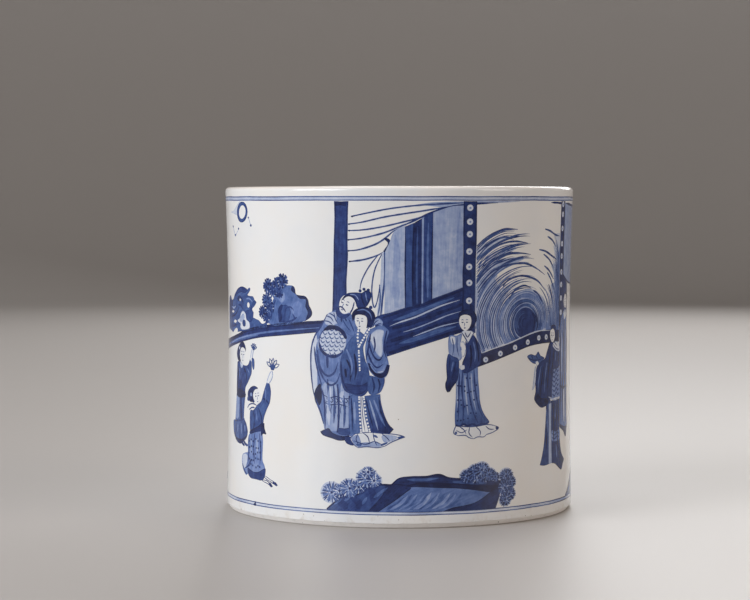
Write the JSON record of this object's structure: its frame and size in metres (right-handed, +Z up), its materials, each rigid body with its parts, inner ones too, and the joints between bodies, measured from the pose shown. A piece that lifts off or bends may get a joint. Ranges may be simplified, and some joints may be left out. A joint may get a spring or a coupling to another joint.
{
  "type": "porcelain brush pot",
  "caption": "Straight-sided porcelain pot for upright writing brushes, slightly waisted, blue and white glazed outside, on a wide bare foot ring round a glazed recess.",
  "frame": {"origin": "centre of the foot ring, on the table plane", "axes": "+Z up along the pot's axis; -Y is the side that the picture shows"},
  "size_m": [0.185, 0.185, 0.17],
  "materials": {
    "porcelain_paste": "bare fired paste, knife-turned, matt",
    "clear_glaze": "clear feldspathic glaze with a faint blue tinge, glossy",
    "underglaze_cobalt": "cobalt painting under the clear glaze, glossy"
  },
  "bodies": {
    "root": {"porcelain_body": "porcelain_paste", "outer_glaze": "clear_glaze", "inner_glaze": "clear_glaze", "base_glaze": "clear_glaze"}
  },
  "joints": []
}
